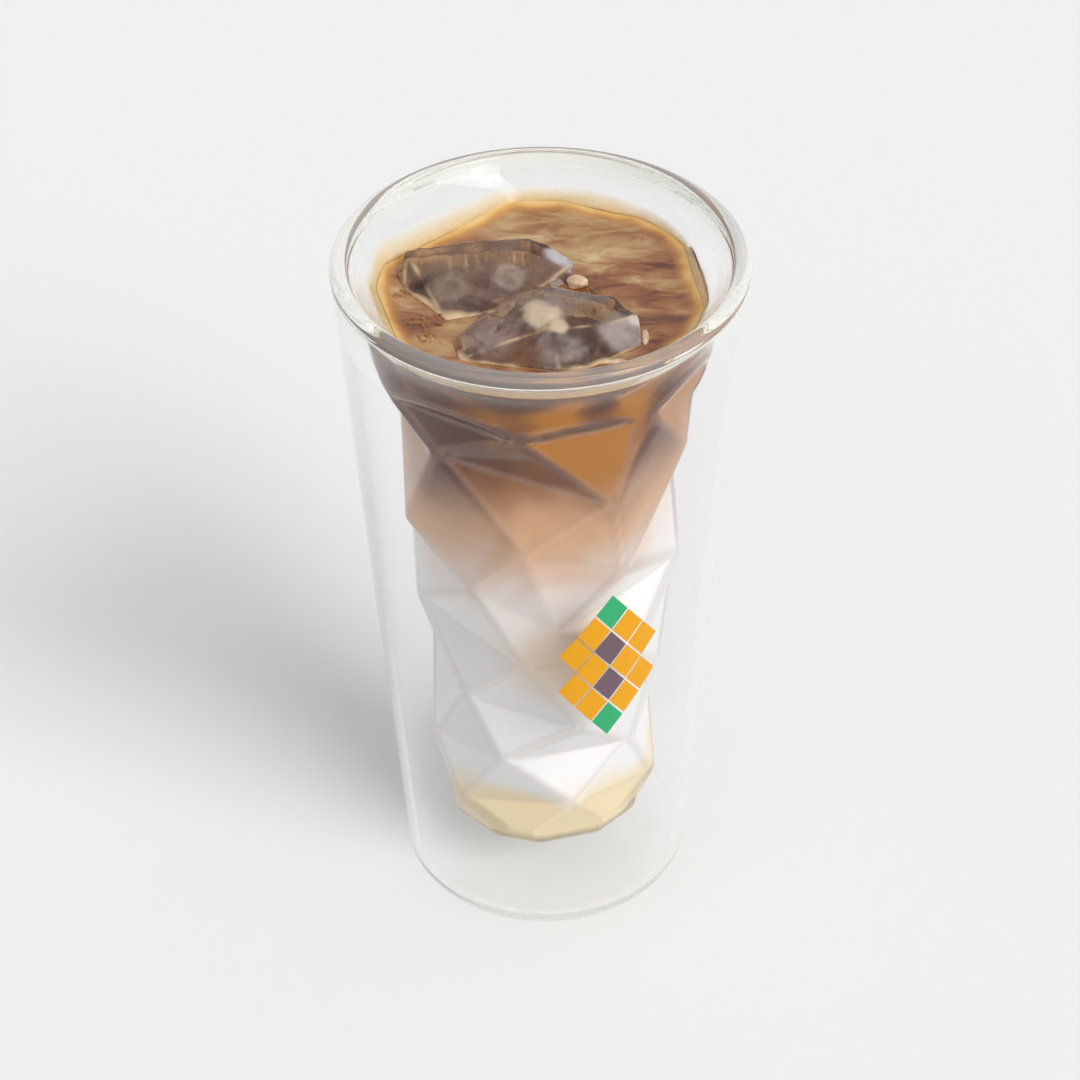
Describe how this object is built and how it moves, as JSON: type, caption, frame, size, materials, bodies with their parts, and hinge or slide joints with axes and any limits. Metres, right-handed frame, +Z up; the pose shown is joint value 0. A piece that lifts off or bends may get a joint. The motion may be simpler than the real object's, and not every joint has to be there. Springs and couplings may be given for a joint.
{
  "type": "iced coffee in a double-walled glass",
  "caption": "Iced milk coffee in a tall double-walled tumbler: conical outer skin, faceted inner vessel, layered drink and ice blocks standing out of the surface.",
  "frame": {"origin": "middle of the glass's base, on the surface it stands on", "axes": "+Z up the axis of the glass; the printed side faces -Y, a little towards +X"},
  "size_m": [0.0798, 0.0798, 0.1493],
  "materials": {
    "glass": "clear polished borosilicate",
    "coffee": "milky coffee, wet",
    "blend": "coffee running into milk, wet",
    "milk": "white milk, wet",
    "syrup": "pale yellow syrup, wet",
    "ice": "wet ice, partly cloudy",
    "enamel": "fired enamel print"
  },
  "bodies": {
    "root": {"glass": "glass", "coffee": "coffee", "blend": "blend", "milk": "milk", "syrup": "syrup", "ice_back": "ice", "ice_front": "ice"}
  },
  "joints": []
}
